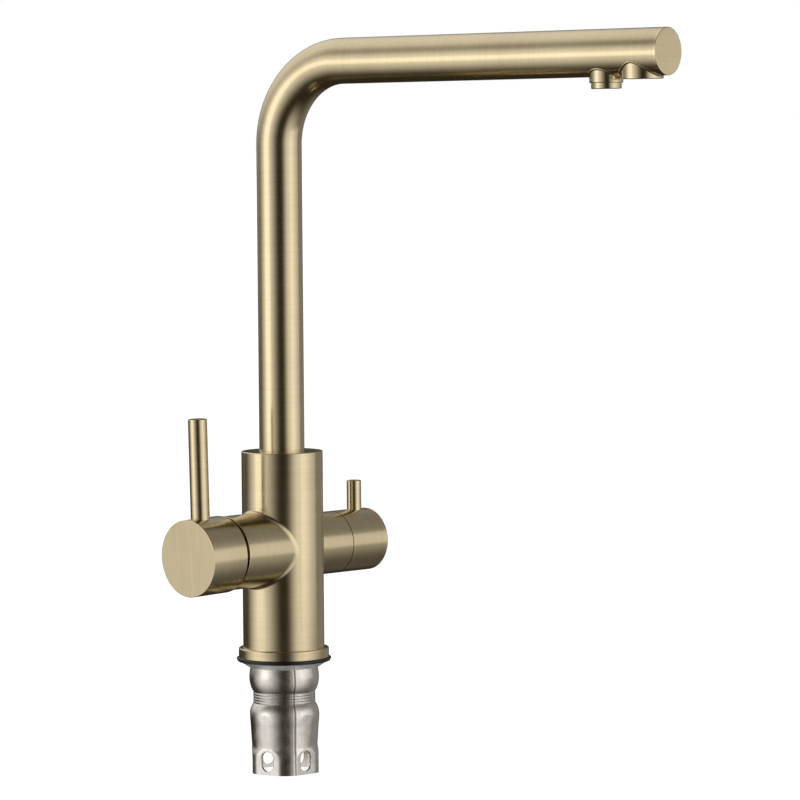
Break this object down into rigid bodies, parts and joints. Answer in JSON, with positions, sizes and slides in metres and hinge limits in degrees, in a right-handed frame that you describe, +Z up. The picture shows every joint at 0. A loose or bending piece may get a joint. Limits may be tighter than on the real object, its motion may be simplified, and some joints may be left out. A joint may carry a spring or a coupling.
{
  "type": "three way filtered water tap",
  "caption": "Deck-mounted kitchen tap with a swivelling right-angle spout, a side mixer lever, a filtered water knob and separate outlets under the arm.",
  "frame": {"origin": "on the tap's axis in the worktop plane, which is the bearing lip of the base gasket", "axes": "+Z up along the tap's axis, -Y is the direction of the spout before its small swivel, -X towards the mixer handle, +X towards the filter knob"},
  "size_m": [0.1383, 0.2815, 0.4072],
  "materials": {
    "brushed_gold": "satin brushed champagne gold",
    "raw_brass": "machined",
    "stainless": "satin, drawn and welded",
    "bright_steel": "bright",
    "black_rubber": "matte",
    "grey_plastic": "matte",
    "white_plastic": "matte",
    "ceramic": "lapped"
  },
  "bodies": {
    "fixed_body": {"tap_body": "brushed_gold", "base_ring": "brushed_gold", "base_gasket": "black_rubber", "threaded_shank": "raw_brass", "cartridge_housing": "grey_plastic", "cartridge_seals": "black_rubber", "fixed_ceramic_disc": "ceramic", "clamp_ring": "raw_brass", "filter_valve_seal": "black_rubber", "filter_valve_body": "raw_brass", "filter_fixed_disc": "ceramic", "spout_slide_ring": "white_plastic", "spout_retaining_screw": "bright_steel", "filter_feed_tube": "raw_brass"},
    "spout": {"spout_tube": "brushed_gold", "spout_end_cap": "brushed_gold", "spout_spigot": "raw_brass", "spout_o_rings": "black_rubber", "filter_inner_tube": "white_plastic", "mixed_outlet_collar": "brushed_gold", "mixed_aerator": "grey_plastic", "filter_outlet_collar": "brushed_gold", "filter_aerator_shell": "brushed_gold", "filter_aerator_insert": "white_plastic"},
    "temperature_carrier": {"temperature_carrier": "grey_plastic", "lever_cross_pin": "bright_steel"},
    "mixer_lever": {"lever_spindle": "raw_brass", "handle_barrel": "brushed_gold", "handle_lever_rod": "brushed_gold", "handle_grub_screw": "bright_steel"},
    "mixing_disc": {"moving_ceramic_disc": "ceramic", "disc_driver": "grey_plastic"},
    "filter_knob": {"filter_spindle": "raw_brass", "filter_moving_disc": "ceramic", "knob_barrel": "brushed_gold", "knob_lever_rod": "brushed_gold", "knob_grub_screw": "bright_steel"},
    "fixing_washer": {"fixing_washer": "bright_steel"},
    "fixing_nut": {"fixing_nut": "stainless"}
  },
  "joints": [
    {"name": "spout_swivel", "type": "hinge", "parent": "fixed_body", "child": "spout", "pos_m": [0, 0, 0.1], "axis": [0, 0, 1], "continuous": true},
    {"name": "mixer_temperature", "type": "hinge", "parent": "fixed_body", "child": "temperature_carrier", "pos_m": [-0.038, 0, 0.0624], "axis": [1, 0, 0], "range_deg": [-50, 50]},
    {"name": "mixer_flow", "type": "hinge", "parent": "temperature_carrier", "child": "mixer_lever", "pos_m": [-0.038, 0, 0.0624], "axis": [0, -1, 0], "range_deg": [-1.4, 23.6]},
    {"name": "disc_slide", "type": "slide", "parent": "temperature_carrier", "child": "mixing_disc", "axis": [0, 0, 1], "range_m": [-0.0004, 0.0034]},
    {"name": "filter_turn", "type": "hinge", "parent": "fixed_body", "child": "filter_knob", "pos_m": [0.045, 0, 0.0624], "axis": [1, 0, 0], "range_deg": [0, 90]},
    {"name": "washer_slide", "type": "slide", "parent": "fixed_body", "child": "fixing_washer", "axis": [0, 0, -1], "range_m": [0, 0.024]},
    {"name": "nut_turn", "type": "hinge", "parent": "fixing_washer", "child": "fixing_nut", "pos_m": [0, 0, -0.02], "axis": [0, 0, -1], "range_deg": [0, 5760]}
  ],
  "couplings": [
    {"joint": "disc_slide", "follows": "mixer_flow", "m_per_rad": 0.0078},
    {"joint": "washer_slide", "follows": "nut_turn", "m_per_rad": 0.00023873}
  ]
}
